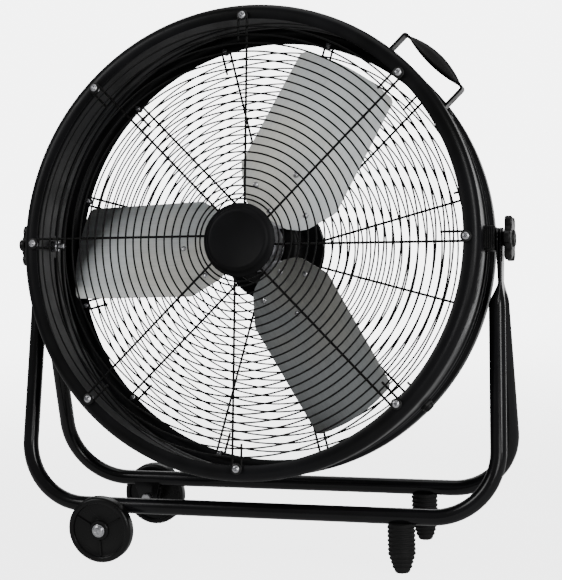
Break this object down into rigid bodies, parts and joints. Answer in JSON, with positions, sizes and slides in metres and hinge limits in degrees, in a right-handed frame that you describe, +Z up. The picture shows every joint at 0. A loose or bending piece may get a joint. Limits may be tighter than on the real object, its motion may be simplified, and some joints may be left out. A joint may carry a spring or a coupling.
{
  "type": "drum fan",
  "caption": "Floor-standing high-velocity drum fan: guarded steel drum with paddle blades, tilting between two tubular hoops with wheels, rubber feet and clamp knobs.",
  "frame": {"origin": "on the floor, under the middle of the object's bounding box", "axes": "+Z up, air leaves toward -Y, the tilt axis runs along X, the wheels are on the -X side"},
  "size_m": [0.7822, 0.3002, 0.8349],
  "materials": {
    "black_tube": "semi-gloss powder coat",
    "black_drum": "satin powder coat",
    "black_wire": "satin powder coat on wire",
    "cap_paint": "satin powder coat",
    "motor_paint": "satin enamel",
    "blade_aluminium": "mill finish, lightly brushed",
    "bright_zinc": "bright zinc plate",
    "black_fastener": "black oxide",
    "hub_steel": "machined",
    "lamination_steel": "stacked laminations",
    "copper_winding": "enamelled wire",
    "black_plastic": "fine moulded texture",
    "grip_plastic": "soft satin moulding",
    "wheel_plastic": "moulded, semi-gloss",
    "foot_rubber": "ribbed rubber",
    "capacitor_can": "satin can",
    "lead_sheath": "smooth cable sheath"
  },
  "bodies": {
    "stand": {"front_hoop": "black_tube", "rear_hoop": "black_tube", "wheel_bracket_front": "black_tube", "wheel_bracket_rear": "black_tube", "axle_bolts": "bright_zinc", "axle_nuts": "bright_zinc", "axle_washers": "bright_zinc", "foot_front": "foot_rubber", "foot_rear": "foot_rubber", "foot_bolts": "bright_zinc"},
    "wheel_front": {"wheel_front": "wheel_plastic"},
    "wheel_rear": {"wheel_rear": "wheel_plastic"},
    "drum": {"drum_shell": "black_drum", "front_guard_spokes": "black_wire", "front_guard_rings": "black_wire", "front_guard_plate": "black_wire", "front_cap": "cap_paint", "front_screws": "bright_zinc", "front_washers": "black_fastener", "front_nuts": "bright_zinc", "rear_guard_spokes": "black_wire", "rear_guard_rings": "black_wire", "rear_motor_plate": "black_drum", "rear_cover_plate": "black_drum", "rear_screws": "bright_zinc", "rear_nuts": "bright_zinc", "motor_housing": "motor_paint", "motor_front_bell": "motor_paint", "stator_core": "lamination_steel", "stator_windings": "copper_winding", "bearing_front": "hub_steel", "bearing_rear": "hub_steel", "motor_bolts": "bright_zinc", "motor_nuts": "bright_zinc", "switch_box": "black_plastic", "switch_box_lid": "black_plastic", "switch_body": "black_plastic", "run_capacitor": "capacitor_can", "motor_lead": "lead_sheath", "lead_gland": "black_plastic", "handle_strap": "black_drum", "handle_grip": "grip_plastic", "handle_bolts": "black_fastener", "handle_nuts": "bright_zinc", "pivot_block_left": "black_plastic", "pivot_block_right": "black_plastic", "pivot_studs": "bright_zinc", "pivot_nuts": "bright_zinc"},
    "rotor": {"motor_shaft": "hub_steel", "rotor_core": "lamination_steel", "fan_hub": "hub_steel", "blade_spider": "hub_steel", "blade_1": "blade_aluminium", "blade_2": "blade_aluminium", "blade_3": "blade_aluminium", "blade_rivets": "bright_zinc", "hub_nut": "bright_zinc"},
    "knob_left": {"tilt_knob_left": "black_plastic"},
    "knob_right": {"tilt_knob_right": "black_plastic"},
    "speed_knob": {"switch_knob": "black_plastic"}
  },
  "joints": [
    {"name": "drum_tilt", "type": "hinge", "parent": "stand", "child": "drum", "pos_m": [0, 0.006, 0.478], "axis": [1, 0, 0], "range_deg": [-80, 100]},
    {"name": "fan_spin", "type": "hinge", "parent": "drum", "child": "rotor", "pos_m": [0, 0.00522, 0.47357], "axis": [0, -0.9848, 0.1736], "continuous": true},
    {"name": "wheel_front_roll", "type": "hinge", "parent": "stand", "child": "wheel_front", "pos_m": [-0.236, -0.1065, 0.051], "axis": [0, 1, 0], "continuous": true},
    {"name": "wheel_rear_roll", "type": "hinge", "parent": "stand", "child": "wheel_rear", "pos_m": [-0.236, 0.1185, 0.051], "axis": [0, 1, 0], "continuous": true},
    {"name": "knob_left_turn", "type": "hinge", "parent": "drum", "child": "knob_left", "pos_m": [-0.376, 0.006, 0.478], "axis": [-1, 0, 0], "range_deg": [0, 450]},
    {"name": "knob_right_turn", "type": "hinge", "parent": "drum", "child": "knob_right", "pos_m": [0.376, 0.006, 0.478], "axis": [1, 0, 0], "range_deg": [0, 450]},
    {"name": "speed_turn", "type": "hinge", "parent": "drum", "child": "speed_knob", "pos_m": [0.022, 0.13324, 0.45099], "axis": [0, -0.9848, 0.1736], "range_deg": [0, 135]}
  ]
}
